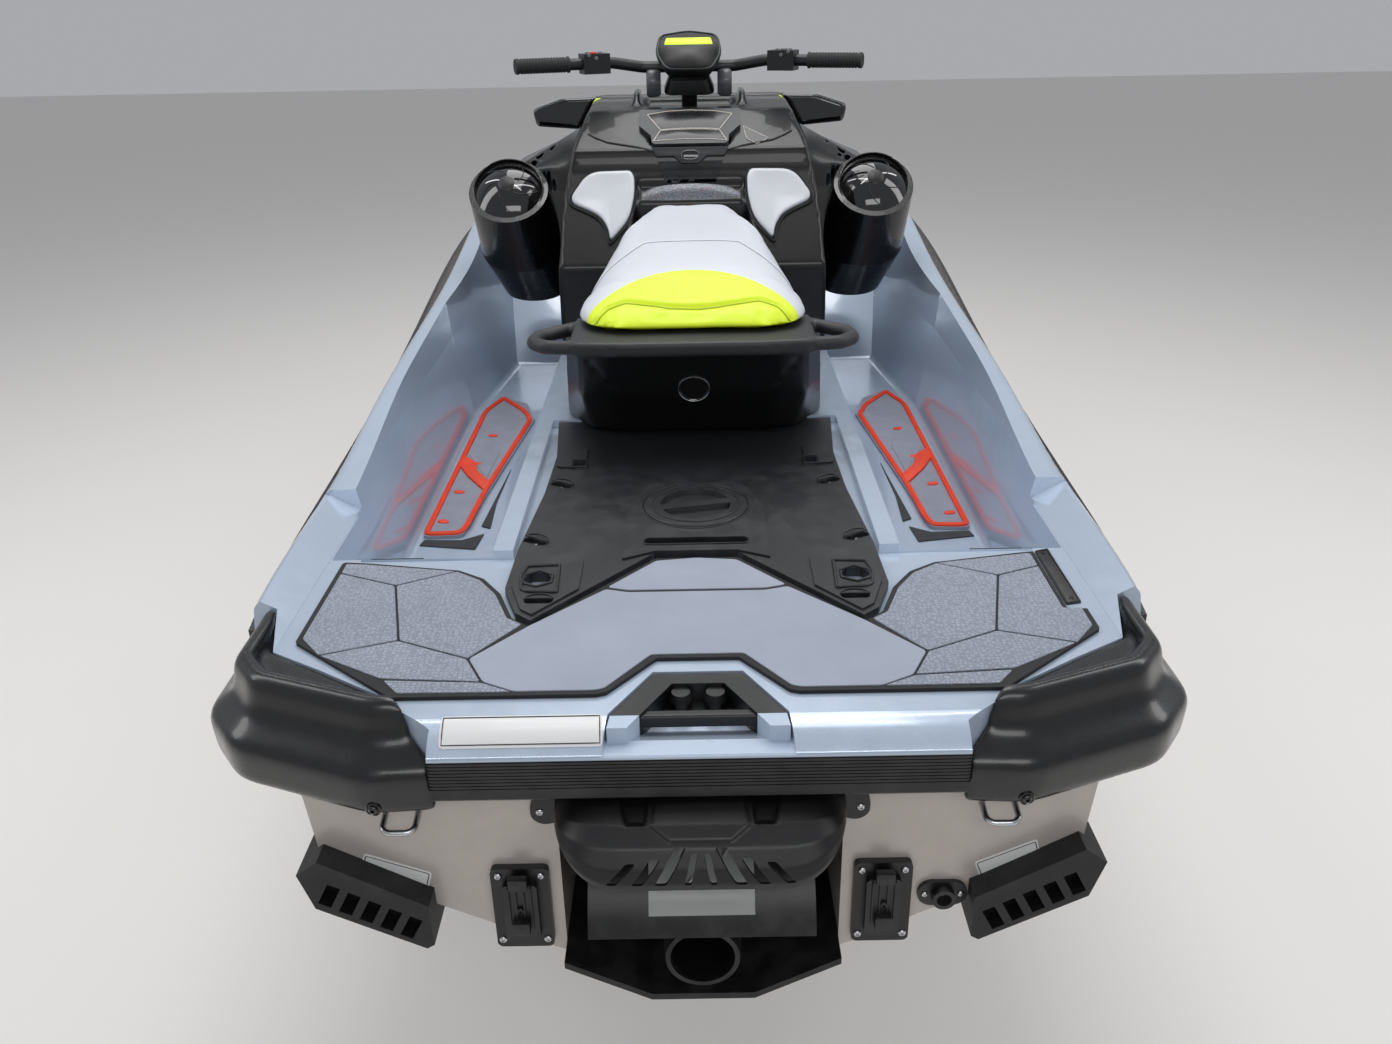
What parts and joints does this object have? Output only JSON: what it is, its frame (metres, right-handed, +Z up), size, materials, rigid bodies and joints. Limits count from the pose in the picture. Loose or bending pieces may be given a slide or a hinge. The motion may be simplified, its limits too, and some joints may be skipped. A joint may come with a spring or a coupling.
{
  "type": "personal watercraft",
  "caption": "sit-on jet-driven personal watercraft with a long stern platform, footwells, straddle seat, handlebar, opening lids, steering nozzle and reverse gate",
  "frame": {"origin": "on the still waterline at the centre plane, 1.45 m forward of the stern face and 0.28 m above the keel", "axes": "+X to starboard, +Y to the bow, +Z up"},
  "size_m": [1.255, 3.3819, 1.1332],
  "materials": {
    "lower_hull": "satin warm grey moulded hull",
    "deck_body": "gloss pale blue grey metallic body",
    "black_trim": "satin black moulded plastic",
    "gloss_trim": "gloss black plastic",
    "deck_mat": "grey foam mat",
    "seat_cover": "silver and lime coated fabric",
    "knee_pad": "silver pads",
    "grip_rubber": "soft black rubber",
    "pump_metal": "cast aluminium",
    "bright_steel": "stainless steel",
    "engine_iron": "painted engine block"
  },
  "bodies": {
    "craft": {"hull": "lower_hull", "deck": "deck_body", "rub_rail": "black_trim", "bow_bumper": "black_trim", "stern_bumpers": "black_trim", "stern_strip": "black_trim", "platform_mat": "deck_mat", "deck_cover": "black_trim", "deck_cap": "black_trim", "tow_hook": "black_trim", "seat_base": "black_trim", "engine_block": "engine_iron", "grab_handle": "black_trim", "seat": "seat_cover", "console": "black_trim", "knee_pads": "knee_pad", "storage_bin": "black_trim", "pods": "black_trim", "pod_domes": "gloss_trim", "well_mats": "deck_mat", "pump_housing": "pump_metal", "pump_cover": "black_trim", "ride_plate": "black_trim", "intake_grate": "black_trim", "sponsons": "black_trim", "transom_brackets": "black_trim", "flush_port": "black_trim", "stern_eyes": "bright_steel", "bow_eye": "bright_steel"},
    "steering": {"steering_column": "black_trim", "handlebar": "black_trim", "grips": "grip_rubber", "display": "black_trim"},
    "jet_nozzle": {"nozzle": "pump_metal"},
    "gate": {"reverse_gate": "black_trim"},
    "rotor": {"impeller": "bright_steel"},
    "front_lid": {"hood": "deck_body", "mirrors": "gloss_trim"},
    "glovebox_cover": {"glovebox_lid": "gloss_trim"}
  },
  "joints": [
    {"name": "steering_turn", "type": "hinge", "parent": "craft", "child": "steering", "pos_m": [0, 0.43, 0.694], "axis": [0, -0.4067, 0.9135], "range_deg": [-22, 22]},
    {"name": "nozzle_turn", "type": "hinge", "parent": "craft", "child": "jet_nozzle", "pos_m": [0, -1.28, -0.14], "axis": [0, 0, 1], "range_deg": [-20, 20]},
    {"name": "gate_swing", "type": "hinge", "parent": "craft", "child": "gate", "pos_m": [0, -1.35, -0.14], "axis": [1, 0, 0], "range_deg": [0, 50]},
    {"name": "impeller_spin", "type": "hinge", "parent": "craft", "child": "rotor", "pos_m": [0, -0.95, -0.14], "axis": [0, 1, 0], "continuous": true},
    {"name": "front_lid_swing", "type": "hinge", "parent": "craft", "child": "front_lid", "pos_m": [0, 1.41, 0.471], "axis": [-1, 0, 0], "range_deg": [0, 45]},
    {"name": "glovebox_swing", "type": "hinge", "parent": "craft", "child": "glovebox_cover", "pos_m": [0, 0.30095, 0.67659], "axis": [-1, 0, 0], "range_deg": [0, 50]}
  ],
  "couplings": [
    {"joint": "nozzle_turn", "follows": "steering_turn", "ratio": -0.9}
  ]
}
